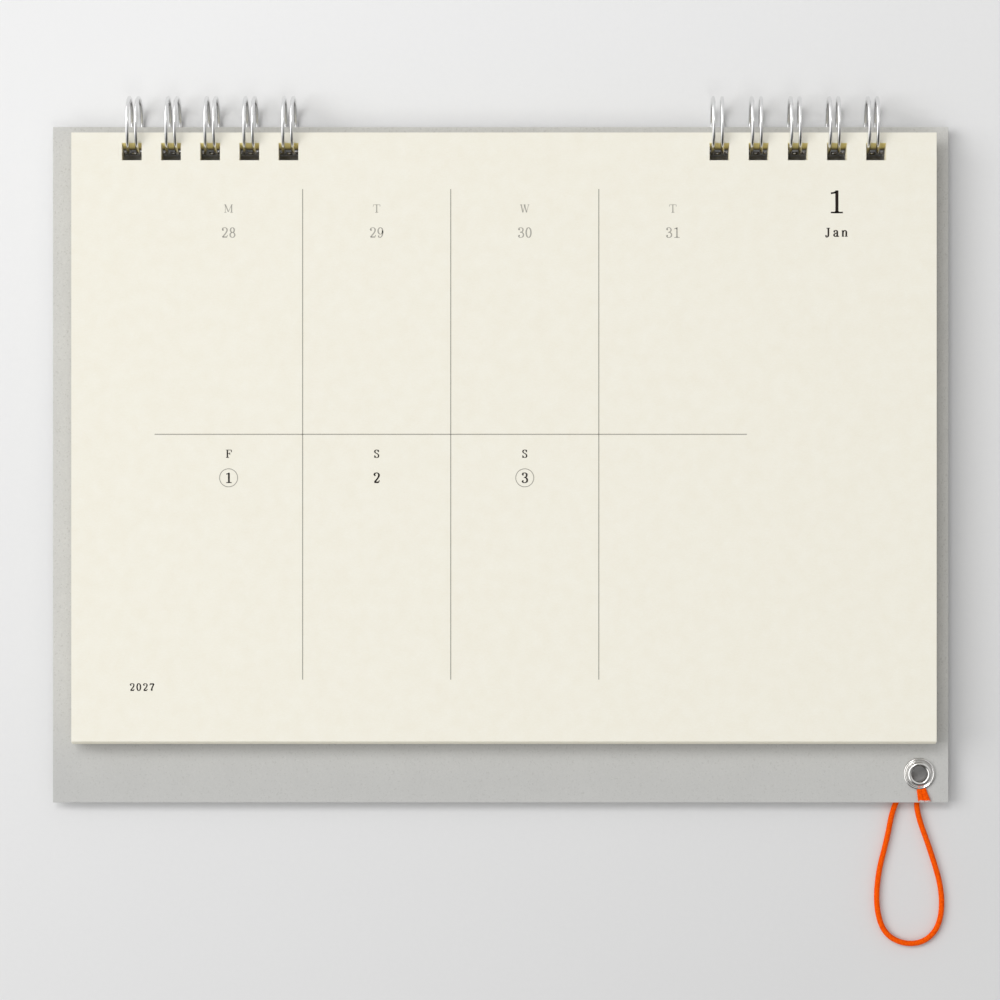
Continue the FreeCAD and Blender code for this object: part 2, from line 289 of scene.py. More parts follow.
# The pale room. It fills in from all round, but hardly from behind the camera's stand. Bright
# metal mirrors it pale above, dark below, and with a tall window on the left.
room_light = 0.495
room_seen = 0.85
stand_stops = [(0.90, 1.0), (0.955, 0.1)]
room_stops = [(0.18, 0.07), (0.50, 0.55), (0.62, 0.85)]
window_glow = 2.2
window_stops = [(0.70, 0.0), (0.79, 1.0), (0.90, 1.0), (0.97, 0.2)]
window_sill_stops = [(0.1, 0.0), (0.3, 1.0)]

world = bpy.data.worlds.new("room")
bpy.context.scene.world = world
world.use_nodes = True
room = Finish.of(world)
by_camera = room.node("ShaderNodeLightPath", output="Is Camera Ray")
by_gloss = room.node("ShaderNodeLightPath", output="Is Glossy Ray")
across, ahead, up = room.parts(room.node("ShaderNodeTexCoord", output="Generated"))
from_left = across * -0.5 + 0.5
from_below = up * 0.5 + 0.5
filled = room.stops(ahead * -1, stand_stops) * room_light
window = room.stops(from_left, window_stops) * room.stops(from_below, window_sill_stops)
mirrored = room.stops(from_below, room_stops) + window * window_glow
level = by_gloss * (mirrored - filled) + by_camera * (room_seen - filled) + filled
room.feed(room.tree.nodes["Background"], "Strength", level)
room.tree.nodes["Background"].inputs["Color"].default_value = (1, 1, 1, 1)

# The pad of sheets. Fifty-four sheets of uncoated cream paper, punched together with ten
# oblong holes. They hang loose on the round rings, so the middle of the pad hangs lowest.
sheet_count = 54
sheet_thickness = 0.086 * mm
sheet_wander = 0.07 * mm
page_hole_width = 4.3 * mm
page_hole_height = 3.74 * mm
page_hole_top = -4.035 * mm
# How far above each hole the deeper sheets carry the painted glow of the punched edges.
hole_painted_glow_reach = 1.3 * mm
foot_fan_share = 0.62
ring_outer = 6.45 * mm
finger_pitch = 25.4 / 3 * mm
fingers_per_comb = 5
comb_spacing = 127.0 * mm
cream = (0.885, 0.862, 0.765)
cream_deep = (0.80, 0.745, 0.60)
# The punched edges are painted a bright ochre glow, standing in for light bounced between and passed
# through the cream sheets, and painted near-black shade deeper in the holes.
punched_painted_glow = (0.95, 0.76, 0.33)
punched_painted_shade = (0.16, 0.12, 0.06)
edge_reach = 0.1 * mm
fibre_height = 0.012 * mm
strata_height = 0.02 * mm

pad_low, pad_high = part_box("page_block")
pad_front = pad_low.y
pad_depth = pad_high.y - pad_low.y
page_top = pad_high.z
page_width = pad_high.x - pad_low.x


def fan_drop(depth):
    """How far a sheet hangs below the front one, as it hangs on the rings' curve."""
    return math.sqrt(ring_outer ** 2 - depth ** 2) - math.sqrt(ring_outer ** 2 - pad_front ** 2)


page_height = page_top - pad_low.z - fan_drop(0)


def finger_centres():
    middle = (fingers_per_comb - 1) / 2
    steps = [finger_pitch * (i - middle) for i in range(fingers_per_comb)]
    return [side * comb_spacing / 2 + step for side in (-1, 1) for step in steps]


def in_a_punched_hole(point):
    beside = min(abs(point.x - x) for x in finger_centres())
    return beside < page_hole_width / 2 and page_hole_top - page_hole_height < point.z < page_hole_top


def cut_across(bm, point, normal):
    every = bm.verts[:] + bm.edges[:] + bm.faces[:]
    bmesh.ops.bisect_plane(bm, geom=every, plane_co=point, plane_no=normal)


def one_sheet(painted_glow_above_hole):
    """A single punched sheet at the front of the pad, with its thickness."""
    bm = bmesh.new()
    place = upright(page_width, page_height, Vector((0, pad_front, page_top - page_height / 2)))
    bmesh.ops.create_grid(bm, x_segments=1, y_segments=1, size=0.5, matrix=place)
    for x in finger_centres():
        cut_across(bm, (x - page_hole_width / 2, 0, 0), (1, 0, 0))
        cut_across(bm, (x + page_hole_width / 2, 0, 0), (1, 0, 0))
    for z in (page_hole_top + hole_painted_glow_reach, page_hole_top, page_hole_top - page_hole_height):
        cut_across(bm, (0, 0, z), (0, 0, 1))
    holes = [face for face in bm.faces if in_a_punched_hole(face.calc_center_median())]
    bmesh.ops.delete(bm, geom=holes, context="FACES")
    pushed = bmesh.ops.extrude_face_region(bm, geom=bm.faces[:], use_keep_orig=True)
    back = [item for item in pushed["geom"] if isinstance(item, bmesh.types.BMVert)]
    bmesh.ops.translate(bm, verts=back, vec=(0, sheet_thickness, 0))
    bmesh.ops.recalc_face_normals(bm, faces=bm.faces[:])
    for face in bm.faces:
        middle = face.calc_center_median()
        beside = min(abs(middle.x - x) for x in finger_centres()) < page_hole_width / 2 + edge_reach
        # Deeper sheets carry the painted glow on their front face for a short way above each hole.
        reach = hole_painted_glow_reach if painted_glow_above_hole else edge_reach
        near = page_hole_top - page_hole_height - edge_reach < middle.z < page_hole_top + reach
        face.material_index = 1 if beside and near else 0
    return bm


def pad_of_sheets():
    random.seed(54)
    step = (pad_depth - sheet_thickness) / (sheet_count - 1)
    middle = page_top - page_height / 2
    pad = bmesh.new()
    for i in range(sheet_count):
        depth = step * i
        drop = fan_drop(pad_front + depth)
        wander = Vector((random.uniform(-1, 1), 0, random.uniform(-1, 0.2))) * (sheet_wander if i else 0)
        single = one_sheet(painted_glow_above_hole=i > 0)
        for vert in single.verts:
            share = 1 if vert.co.z > middle else foot_fan_share
            vert.co += wander + Vector((0, depth, -drop * share))
        sheet_mesh = bpy.data.meshes.new("sheet")
        single.to_mesh(sheet_mesh)
        single.free()
        pad.from_mesh(sheet_mesh)
        bpy.data.meshes.remove(sheet_mesh)
    return pad


def paper_finish():
    paper = Finish("cream_paper", Roughness=0.88)
    paper.shader.inputs["Specular IOR Level"].default_value = 0.25
    fibres = paper.noise(3.2, detail=5.0, roughness=0.65, distortion=0.6)
    cloud = paper.noise(0.35, detail=3.0)
    felt = paper.noise(1.1, detail=2.0, stretch=(1, 1, 4))
    tone = fibres * 0.35 + cloud * 0.4 + felt * 0.25
    paper.colour(paper.mix(paper.stops(tone, [(0.35, 0.35), (0.65, 0.0)]), cream, cream_deep))
    paper.bump(fibres * 0.7 + felt * 0.3, fibre_height)
    return paper.material


def punched_finish():
    cut = Finish("punched_edge_painted_glow_and_shade", Roughness=0.95)
    strata = cut.noise(2.0, detail=3.0, stretch=(0.4, 6, 0.4))
    across, depth, up = cut.parts(cut.place())
    # Painted shade: the cut walls turn near-black towards the back of the pad, where little light gets
    # into the holes.
    painted_shade_with_depth = cut.stops(depth * 0.25 + 0.5, [(0.0, 0.0), (0.45, 1.0)])
    # Painted glow: the bright ochre of the cut walls stands in for light bounced inside the holes.
    dim_painted_glow = tuple(c * 0.85 for c in punched_painted_glow)
    bright_painted_glow = tuple(min(c * 1.15, 0.95) for c in punched_painted_glow)
    cut.colour(cut.mix(painted_shade_with_depth, cut.mix(strata, dim_painted_glow, bright_painted_glow), punched_painted_shade))
    cut.bump(strata, strata_height)
    return cut.material


pad = mesh_object("pad_of_sheets", pad_of_sheets(), paper_finish(), punched_finish())
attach(pad, "pages")
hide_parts("page_block")

# The print on the front sheet. Thin grey rules divide the week into eight fields, and a
# book face with slab serifs sets the days, dates, month and year. It is offset ink.
ink_height = 0.02 * mm
rule_width = 0.195 * mm
grid_left = pad_low.x + 18.0 * mm
grid_top = page_top - 12.23 * mm
column_width = 32.0 * mm
column_count = 4
row_height = 53.0 * mm
row_count = 2
weekday_foot = 5.07 * mm
weekday_size = 1.73 * mm
date_foot = 10.5 * mm
date_size = 2.2 * mm
date_pitch = 1.64 * mm
plain = 1.0
first_days_bold = 1.3
date_ring_radius = 1.95 * mm
ring_ink_width = 0.16 * mm
month_middle = pad_high.x - 21.7 * mm
month_digit_foot = page_top - 17.45 * mm
month_digit_size = 4.96 * mm
month_name_foot = page_top - 22.50 * mm
month_name_size = 1.97 * mm
month_name_pitch = 1.825 * mm
month_bold = 1.35
year_middle = grid_left - 2.7 * mm
year_foot = page_top - 120.66 * mm
year_size = 1.6 * mm
year_pitch = 1.42 * mm
year_bold = 1.35
black_ink = (0.013, 0.008, 0.006)
grey_ink = (0.33, 0.315, 0.275)
pale_ink = (0.40, 0.385, 0.34)
stem_weight = 0.135
hair_weight = 0.055
pen_slope = 1.4

# Each figure or letter: its width, then its pen strokes in a cell one high. A stroke is a
# smooth line of points, a loop, a straight bar with its weight, or a round terminal.
letter_shapes = {
    "0": (0.62, [("loop", 0.31, 0.5, 0.235, 0.485)]),
    "1": (0.6, [
        ("bar", (0.33, 0.02), (0.33, 0.99), stem_weight),
        ("bar", (0.07, 0.03), (0.59, 0.03), 0.065),
        ("bar", (0.24, 0.06), (0.42, 0.06), 0.05),
        ("bar", (0.07, 0.868), (0.30, 0.905), 0.075),
        ("bar", (0.20, 0.89), (0.36, 0.975), 0.065),
    ]),
    "2": (0.62, [
        ("dot", 0.135, 0.745, 0.078),
        ("line", [(0.07, 0.75), (0.12, 0.91), (0.30, 0.985), (0.48, 0.91), (0.53, 0.73),
                  (0.44, 0.50), (0.26, 0.27), (0.09, 0.07)]),
        ("bar", (0.08, 0.06), (0.50, 0.06), 0.12),
        ("bar", (0.50, 0.04), (0.57, 0.26), 0.07),
    ]),
    "3": (0.6, [
        ("dot", 0.125, 0.79, 0.072),
        ("line", [(0.07, 0.80), (0.14, 0.94), (0.30, 0.985), (0.47, 0.89), (0.48, 0.68),
                  (0.36, 0.555), (0.22, 0.53)]),
        ("line", [(0.22, 0.53), (0.42, 0.50), (0.535, 0.33), (0.50, 0.12), (0.32, 0.015),
                  (0.14, 0.05), (0.06, 0.20)]),
        ("dot", 0.12, 0.205, 0.072),
    ]),
    "7": (0.62, [
        ("bar", (0.06, 0.925), (0.58, 0.925), 0.13),
        ("bar", (0.07, 0.98), (0.04, 0.72), 0.06),
        ("line", [(0.575, 0.92), (0.42, 0.60), (0.30, 0.30), (0.27, 0.02)]),
        ("bar", (0.285, 0.28), (0.27, 0.01), 0.16),
    ]),
    "8": (0.6, [("loop", 0.30, 0.745, 0.185, 0.235), ("loop", 0.30, 0.265, 0.225, 0.25)]),
    "9": (0.62, [
        ("loop", 0.30, 0.66, 0.22, 0.325),
        ("line", [(0.52, 0.70), (0.525, 0.42), (0.42, 0.13), (0.24, 0.015), (0.10, 0.09)]),
        ("dot", 0.135, 0.15, 0.066),
    ]),
    "M": (1.16, [
        ("bar", (0.17, 0.0), (0.17, 1.0), hair_weight),
        ("bar", (0.95, 0.0), (0.95, 1.0), stem_weight),
        ("bar", (0.17, 0.99), (0.55, 0.10), stem_weight),
        ("bar", (0.57, 0.10), (0.95, 0.99), hair_weight),
        ("bar", (0.03, 0.03), (0.32, 0.03), hair_weight),
        ("bar", (0.78, 0.03), (1.12, 0.03), hair_weight),
        ("bar", (0.03, 0.97), (0.22, 0.97), hair_weight),
        ("bar", (0.92, 0.97), (1.12, 0.97), hair_weight),
    ]),
    "T": (0.92, [
        ("bar", (0.46, 0.0), (0.46, 1.0), stem_weight),
        ("bar", (0.04, 0.97), (0.88, 0.97), hair_weight),
        ("bar", (0.05, 0.98), (0.03, 0.74), hair_weight),
        ("bar", (0.87, 0.98), (0.89, 0.74), hair_weight),
        ("bar", (0.27, 0.03), (0.65, 0.03), hair_weight),
    ]),
    "W": (1.22, [
        ("bar", (0.15, 0.98), (0.38, 0.02), stem_weight),
        ("bar", (0.39, 0.02), (0.61, 0.90), hair_weight),
        ("bar", (0.58, 0.98), (0.83, 0.02), stem_weight),
        ("bar", (0.84, 0.02), (1.08, 0.98), hair_weight),
        ("bar", (0.02, 0.97), (0.29, 0.97), hair_weight),
        ("bar", (0.46, 0.97), (0.72, 0.97), hair_weight),
        ("bar", (0.96, 0.97), (1.20, 0.97), hair_weight),
    ]),
    "F": (0.8, [
        ("bar", (0.25, 0.0), (0.25, 1.0), stem_weight),
        ("bar", (0.07, 0.97), (0.74, 0.97), hair_weight),
        ("bar", (0.73, 0.98), (0.76, 0.70), hair_weight * 1.4),
        ("bar", (0.25, 0.52), (0.55, 0.52), hair_weight),
        ("bar", (0.55, 0.66), (0.55, 0.38), hair_weight * 1.2),
        ("bar", (0.07, 0.03), (0.45, 0.03), hair_weight),
    ]),
    "S": (0.68, [
        ("line", [(0.55, 0.78), (0.48, 0.93), (0.33, 0.985), (0.16, 0.92), (0.11, 0.77), (0.19, 0.63),
                  (0.36, 0.53), (0.52, 0.41), (0.58, 0.24), (0.51, 0.08), (0.35, 0.015), (0.18, 0.07),
                  (0.10, 0.22)]),
        ("bar", (0.565, 0.99), (0.575, 0.71), hair_weight * 1.5),
        ("bar", (0.09, 0.01), (0.085, 0.30), hair_weight * 1.5),
    ]),
    "J": (0.6, [
        ("line", [(0.37, 0.93), (0.37, 0.60), (0.37, 0.25), (0.33, 0.03), (0.20, -0.06), (0.08, 0.03)]),
        ("dot", 0.11, 0.09, 0.085),
        ("bar", (0.17, 0.92), (0.56, 0.92), hair_weight),
    ]),
    "a": (0.64, [
        ("dot", 0.135, 0.50, 0.07),
        ("line", [(0.08, 0.51), (0.15, 0.64), (0.29, 0.675), (0.42, 0.60), (0.44, 0.42), (0.44, 0.12),
                  (0.50, 0.01), (0.61, 0.06)]),
        ("line", [(0.44, 0.40), (0.27, 0.36), (0.12, 0.26), (0.09, 0.12), (0.20, 0.01), (0.36, 0.06),
                  (0.44, 0.18)]),
    ]),
    "n": (0.72, [
        ("bar", (0.17, 0.0), (0.17, 0.67), stem_weight),
        ("bar", (0.04, 0.64), (0.17, 0.64), hair_weight),
        ("line", [(0.17, 0.48), (0.28, 0.62), (0.42, 0.665), (0.53, 0.56), (0.54, 0.30), (0.54, 0.02)]),
        ("bar", (0.04, 0.03), (0.31, 0.03), hair_weight),
        ("bar", (0.40, 0.03), (0.68, 0.03), hair_weight),
    ]),
}
pen_steps = 6
loop_points = 12
ring_steps = 64


def on_paper(x, z):
    return Vector((x, pad_front - ink_height, z))


def inked(bm, outline):
    """Fills an outline of points on the paper and gives the ink its height."""
    face = bm.faces.new([bm.verts.new(point) for point in outline])
    if face.calc_area() and face.normal.y > 0:
        face.normal_flip()
    pushed = bmesh.ops.extrude_face_region(bm, geom=[face])
    base = [item for item in pushed["geom"] if isinstance(item, bmesh.types.BMVert)]
    bmesh.ops.translate(bm, verts=base, vec=(0, ink_height, 0))


def ink_bar(bm, start, end, width):
    along = (end - start).normalized()
    across = Vector((along.z, 0, -along.x)) * (width / 2)
    inked(bm, [start - across, end - across, end + across, start + across])


def ink_dot(bm, centre, radius):
    turns = [math.tau * i / loop_points for i in range(loop_points)]
    inked(bm, [centre + Vector((math.cos(t), 0, math.sin(t))) * radius for t in turns])


def smooth_points(points, closed):
    """Points along a smooth curve through the given ones."""
    count = len(points)
    spans = range(count if closed else count - 1)
    found = []
    for i in spans:
        if closed:
            a, b, c, d = (points[(i + k) % count] for k in (-1, 0, 1, 2))
        else:
            a, b, c, d = (points[min(max(i + k, 0), count - 1)] for k in (-1, 0, 1, 2))
        for step in range(pen_steps):
            t = step / pen_steps
            found.append(
                0.5 * (2 * b + (c - a) * t + (2 * a - 5 * b + 4 * c - d) * t * t
                       + (3 * b - a - 3 * c + d) * t ** 3)
            )
    if not closed:
        found.append(points[-1])
    return found


def ink_line(bm, points, size, bold, closed=False):
    """A pen stroke that is thick where it runs up or down and thin where it runs across."""
    path = smooth_points(points, closed)
    count = len(path)
    edges = []
    for i, point in enumerate(path):
        before = path[i - 1] if i or closed else path[0]
        after = path[(i + 1) % count] if i < count - 1 or closed else path[-1]
        along = (after - before).normalized()
        weight = hair_weight + (stem_weight - hair_weight) * abs(along.z) ** pen_slope
        across = Vector((along.z, 0, -along.x)) * (weight * bold * size / 2)
        edges.append((point - across, point + across))
    spans = range(count if closed else count - 1)
    for i in spans:
        left, right = edges[i]
        next_left, next_right = edges[(i + 1) % count]
        inked(bm, [left, next_left, next_right, right])


def ink_letter(bm, letter, middle, foot, size, bold):
    width, strokes = letter_shapes[letter]
    left = middle - width * size / 2

    def at(x, z):
        return on_paper(left + x * size, foot + z * size)

    for stroke in strokes:
        kind = stroke[0]
        if kind == "bar":
            ink_bar(bm, at(*stroke[1]), at(*stroke[2]), stroke[3] * bold * size)
        elif kind == "dot":
            ink_dot(bm, at(stroke[1], stroke[2]), stroke[3] * size)
        elif kind == "loop":
            x, z, across, up = stroke[1:]
            turns = [math.tau * i / loop_points for i in range(loop_points)]
            points = [at(x + across * math.cos(t), z + up * math.sin(t)) for t in turns]
            ink_line(bm, points, size, bold, closed=True)
        else:
            ink_line(bm, [at(*point) for point in stroke[1]], size, bold)


def ink_words(bm, text, middle, foot, size, pitch, bold):
    first = middle - pitch * (len(text) - 1) / 2
    for i, letter in enumerate(text):
        ink_letter(bm, letter, first + pitch * i, foot, size, bold)


def ink_ring(bm, x, z, radius, width):
    inner = radius - width / 2
    outer = radius + width / 2
    turns = [math.tau * i / ring_steps for i in range(ring_steps + 1)]
    for a, b in zip(turns, turns[1:]):
        corners = [(inner, a), (inner, b), (outer, b), (outer, a)]
        inked(bm, [on_paper(x + r * math.cos(t), z + r * math.sin(t)) for r, t in corners])


def ink_finish(name, colour):
    ink = Finish(name, Roughness=0.6)
    ink.shader.inputs["Specular IOR Level"].default_value = 0.2
    grain = ink.noise(9.0, detail=3.0)
    ink.colour(ink.mix(grain, tuple(c * 0.85 for c in colour), tuple(c * 1.15 for c in colour)))
    return ink.material


def grid_rules():
    bm = bmesh.new()
    bottom = grid_top - row_height * row_count
    for i in range(1, column_count):
        x = grid_left + column_width * i
        ink_bar(bm, on_paper(x, grid_top), on_paper(x, bottom), rule_width)
    for i in range(1, row_count):
        z = grid_top - row_height * i
        right = grid_left + column_width * column_count
        ink_bar(bm, on_paper(grid_left, z), on_paper(right, z), rule_width)
    return bm


def week_row(bm, row, days, dates, bold):
    top = grid_top - row_height * row
    for column, (day, date) in enumerate(zip(days, dates)):
        x = grid_left + column_width * (column + 0.5)
        ink_letter(bm, day, x, top - weekday_foot, weekday_size, bold)
        ink_words(bm, date, x, top - date_foot, date_size, date_pitch, bold)


last_days = bmesh.new()
week_row(last_days, 0, "MTWT", ["28", "29", "30", "31"], plain)
first_days = bmesh.new()
week_row(first_days, 1, "FSS", ["1", "2", "3"], first_days_bold)
ink_letter(first_days, "1", month_middle, month_digit_foot, month_digit_size, plain)
ink_words(
    first_days, "Jan", month_middle, month_name_foot, month_name_size, month_name_pitch, month_bold
)
ink_words(first_days, "2027", year_middle, year_foot, year_size, year_pitch, year_bold)
holiday_rings = bmesh.new()
for column in (0, 2):
    ring_x = grid_left + column_width * (column + 0.5)
    ring_z = grid_top - row_height - date_foot + date_size / 2
    ink_ring(holiday_rings, ring_x, ring_z, date_ring_radius, ring_ink_width)

prints = [
    mesh_object("print_rules", grid_rules(), ink_finish("rule_ink", grey_ink)),
    mesh_object("print_last_days", last_days, ink_finish("pale_ink", pale_ink)),
    mesh_object("print_first_days", first_days, ink_finish("black_ink", black_ink)),
    mesh_object("print_rings", holiday_rings, ink_finish("ring_ink", grey_ink)),
]
for printed in prints:
    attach(printed, "pages")
    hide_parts("page_print")

# The back board. Raw grey chipboard, pressed from waste paper, 1.8 mm thick, with darker
# and paler fibres in it. It is cut and punched in one stroke, so its edges are crisp.
board_bevel = 0.12 * mm
board_grey = (0.5435, 0.539, 0.517)
board_bottom_tone = (0.44, 0.445, 0.44)
board_dark = (0.38, 0.37, 0.34)
board_pale = (0.70, 0.695, 0.67)
crisp_angle = math.radians(40)
pulp_height = 0.03 * mm


def pressed_board():
    bm = bmesh.new()
    bm.from_mesh(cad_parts["back_board"].data)
    bmesh.ops.remove_doubles(bm, verts=bm.verts[:], dist=0.001 * mm)
    bmesh.ops.dissolve_limit(bm, angle_limit=math.radians(1), verts=bm.verts[:], edges=bm.edges[:])
    sharp = [edge for edge in bm.edges if edge.is_manifold and edge.calc_face_angle() > crisp_angle]
    bmesh.ops.bevel(
        bm, geom=sharp, offset=board_bevel, segments=2, profile=0.5, affect="EDGES", material=-1,
        clamp_overlap=True,
    )
    bmesh.ops.triangulate(bm, faces=bm.faces[:])
    return bm


def chipboard_finish():
    board = Finish("grey_chipboard", Roughness=0.92)
    board.shader.inputs["Specular IOR Level"].default_value = 0.2
    pulp = board.noise(2.2, detail=6.0, roughness=0.75, distortion=0.4)
    cloud = board.noise(0.12, detail=3.0)
    fibre = board.noise(1.0, detail=2.0, stretch=(0.5, 3, 2.2), distortion=1.5)
    fleck = board.stops(board.noise(2.3, detail=1.0), [(0.30, 1.0), (0.36, 0.0)])
    pale_fleck = board.stops(board.noise(1.9, detail=1.0, distortion=1.0), [(0.66, 0.0), (0.72, 1.0)])
    across, depth, up = board.parts(board.place())
    # The board is darker towards the bottom.
    darker_towards_bottom = board.stops(up * (-1 / 147), [(0.80, 0.0), (0.97, 1.0)])
    pulp_pale = tuple(c * 1.35 for c in board_grey)
    ground = board.mix(pulp * 0.9 + cloud * 0.3 - 0.3, board_grey, pulp_pale)
    ground = board.mix(fleck * 0.35, ground, board_dark)
    ground = board.mix(pale_fleck * 0.35, ground, board_pale)
    board.colour(board.mix(darker_towards_bottom * 0.45, ground, board_bottom_tone))
    board.bump(pulp * 0.7 + fibre * 0.3, pulp_height)
    return board.material


board = mesh_object("chip_board", pressed_board(), chipboard_finish())
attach(board, "board")
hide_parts("back_board")

# The wire combs. Each is one length of bright 0.8 mm wire, bent into five double fingers
# and closed into rings by a press, with the finger tips tucked against the comb's root.
wire_radius = 0.4 * mm
ring_radius = 6.05 * mm
root_spacing = 2.4 * mm
front_spacing = 1.84 * mm
tip_spacing = 2.3 * mm
root_bend_radius = 1.0 * mm
comb_end_length = 0.9 * mm
tip_set_back = 0.3 * mm
seam_depth = 2.35 * mm
comb_pinch = 0.992
comb_shifts = {"left": 0.05 * mm, "right": -0.36 * mm}
comb_slants = {"left": 0.09 * mm, "right": 0.18 * mm}
leg_steps = 44
bend_steps = 8
wire_silver = (0.80, 0.80, 0.80)


def on_ring(x, angle):
    """A point of the wire, its angle counted from the ring's bottom towards the wall."""
    return Vector((x, ring_radius * math.sin(angle), -ring_radius * math.cos(angle)))


def along_ring(angle):
    return Vector((0, math.cos(angle), math.sin(angle)))


root_angle = math.atan2(root_bend_radius, ring_radius) + math.asin(
    seam_depth / math.hypot(ring_radius, root_bend_radius)
)
tip_angle = math.tau - math.atan2(tip_spacing / 2, ring_radius) + math.asin(
    (seam_depth - tip_set_back) / math.hypot(ring_radius, tip_spacing / 2)
)
front_angle = math.tau * 0.75


def half_spacing(angle):
    """Half the space between a finger's legs, which spread towards the root and the tip."""
    if angle < front_angle:
        spread = root_spacing - front_spacing
        share = ((front_angle - angle) / (front_angle - root_angle)) ** 1.5
    else:
        spread = tip_spacing - front_spacing
        share = ((angle - front_angle) / (tip_angle - front_angle)) ** 2
    return (front_spacing + spread * share) / 2


def leg_points(x, side, slant):
    steps = [root_angle + (tip_angle - root_angle) * i / leg_steps for i in range(leg_steps + 1)]
    return [on_ring(x + side * half_spacing(a) + slant * math.sin(a), a) for a in steps]


def bend_points(corner, into, out, radius, turn, steps):
    """Points of a bend that leaves corner along into and swings towards out."""
    centre = corner + out * radius
    angles = [turn * i / steps for i in range(1, steps)]
    return [centre - out * radius * math.cos(a) + into * radius * math.sin(a) for a in angles]


def finger_points(x, slant):
    right = Vector((1, 0, 0))
    down = -along_ring(root_angle)
    left_leg = leg_points(x, -1, slant)
    right_leg = leg_points(x, 1, slant)
    left_root = left_leg[0] + (down - right) * root_bend_radius
    right_root = right_leg[0] + (down + right) * root_bend_radius
    quarter, half = math.pi / 2, math.pi
    left_bend = bend_points(left_leg[0], down, -right, root_bend_radius, quarter, bend_steps)
    right_bend = bend_points(right_leg[0], down, right, root_bend_radius, quarter, bend_steps)
    tip = bend_points(left_leg[-1], along_ring(tip_angle), right, tip_spacing / 2, half, bend_steps * 2)
    left_side = [left_root, *reversed(left_bend), *left_leg]
    right_side = [*reversed(right_leg), *right_bend, right_root]
    return [*left_side, *tip, *right_side]


def comb_points(side, centres):
    end_step = Vector((comb_end_length, 0, 0))
    middle = sum(centres) / len(centres)
    shifted = [middle + (x - middle) * comb_pinch + comb_shifts[side] for x in centres]
    fingers = [finger_points(x, comb_slants[side]) for x in shifted]
    points = [point for finger in fingers for point in finger]
    return [points[0] - end_step, *points, points[-1] + end_step]


def wire_curve(name, points, radius, material):
    curve = bpy.data.curves.new(name, "CURVE")
    curve.dimensions = "3D"
    curve.bevel_depth = radius
    curve.bevel_resolution = 5
    curve.use_fill_caps = True
    spline = curve.splines.new("POLY")
    spline.points.add(len(points) - 1)
    for place, point in zip(spline.points, points):
        place.co = (*point, 1)
    curve.materials.append(material)
    made = bpy.data.objects.new(name, curve)
    bpy.context.scene.collection.objects.link(made)
    return made


def wire_finish():
    wire = Finish("binding_wire", Metallic=1.0)
    drawn = wire.noise(5.0, detail=2.0, stretch=(3, 1, 1))
    wire.colour(wire.mix(drawn, tuple(c * 0.94 for c in wire_silver), wire_silver))
    wire.rough(drawn * 0.08 + 0.14)
    return wire.material


silver = wire_finish()
left_centres = finger_centres()[:fingers_per_comb]
right_centres = finger_centres()[fingers_per_comb:]
for side, centres in (("left", left_centres), ("right", right_centres)):
    comb = wire_curve("comb_of_wire_" + side, comb_points(side, centres), wire_radius, silver)
    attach(comb, "board")
    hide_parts("wire_comb_" + side)

# The eyelet and its washer. Thin nickel-plated brass: the barrel comes through from behind
# and its lip is rolled over the washer by the setting tool, so it shows fine press marks.
washer_outer = 3.45 * mm
washer_inner = 2.0 * mm
washer_bead = 0.3 * mm
washer_groove = [(2.95, 0.10), (2.75, 0.16), (2.62, 0.14), (2.5, 0.02)]
lip_outer = 2.6 * mm
barrel_inner = 1.7 * mm
barrel_outer = 1.95 * mm
head_outer = 3.3 * mm
lathe_steps = 96
arc_steps = 10
nickel = (0.72, 0.71, 0.69)

eyelet_low, eyelet_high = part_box("eyelet")
board_low, board_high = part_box("back_board")
board_front = board_low.y
board_back = board_high.y
eyelet_axis = Vector(((eyelet_low.x + eyelet_high.x) / 2, 0, (eyelet_low.z + eyelet_high.z) / 2))
washer_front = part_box("eyelet_washer")[0].y
lip_roll = (lip_outer - barrel_inner) / 2
lip_flank = 0.27 * mm
head_flank = 0.27 * mm


def arc_profile(centre, radius, start, end, steps):
    """(radius, depth) points round a centre, angles in degrees from outwards to the wall."""
    turns = [math.radians(start + (end - start) * i / steps) for i in range(steps + 1)]
    return [(centre[0] + radius[0] * math.cos(t), centre[1] + radius[1] * math.sin(t)) for t in turns]


def turned(profile):
    """Spins a closed (radius, depth) outline round the eyelet's axis."""
    bm = bmesh.new()
    places = [bm.verts.new((r, y, 0)) for r, y in profile]
    edges = [bm.edges.new((a, b)) for a, b in zip(places, places[1:] + places[:1])]
    bmesh.ops.spin(
        bm, geom=places + edges, cent=(0, 0, 0), axis=(0, 1, 0), dvec=(0, 0, 0),
        angle=math.tau, steps=lathe_steps, use_merge=True,
    )
    bmesh.ops.remove_doubles(bm, verts=bm.verts[:], dist=0.0005 * mm)
    bmesh.ops.recalc_face_normals(bm, faces=bm.faces[:])
    bmesh.ops.translate(bm, verts=bm.verts[:], vec=eyelet_axis)
    return bm


def eyelet_profile():
    middle = (lip_outer + barrel_inner) / 2
    lip_edge = washer_front - lip_flank
    lip = arc_profile((middle, lip_edge), (lip_roll, lip_roll), 180, 360, arc_steps)
    head_middle = (head_outer + barrel_inner) / 2
    half_head = (head_outer - barrel_inner) / 2
    head_edge = board_back + head_flank
    rise = eyelet_high.y - head_edge
    head = arc_profile((head_middle, head_edge), (half_head, rise), 0, 180, arc_steps)
    return [
        *lip,
        (lip_outer, washer_front),
        (barrel_outer, washer_front),
        (barrel_outer, board_back),
        (head_outer, board_back),
        *head,
    ]


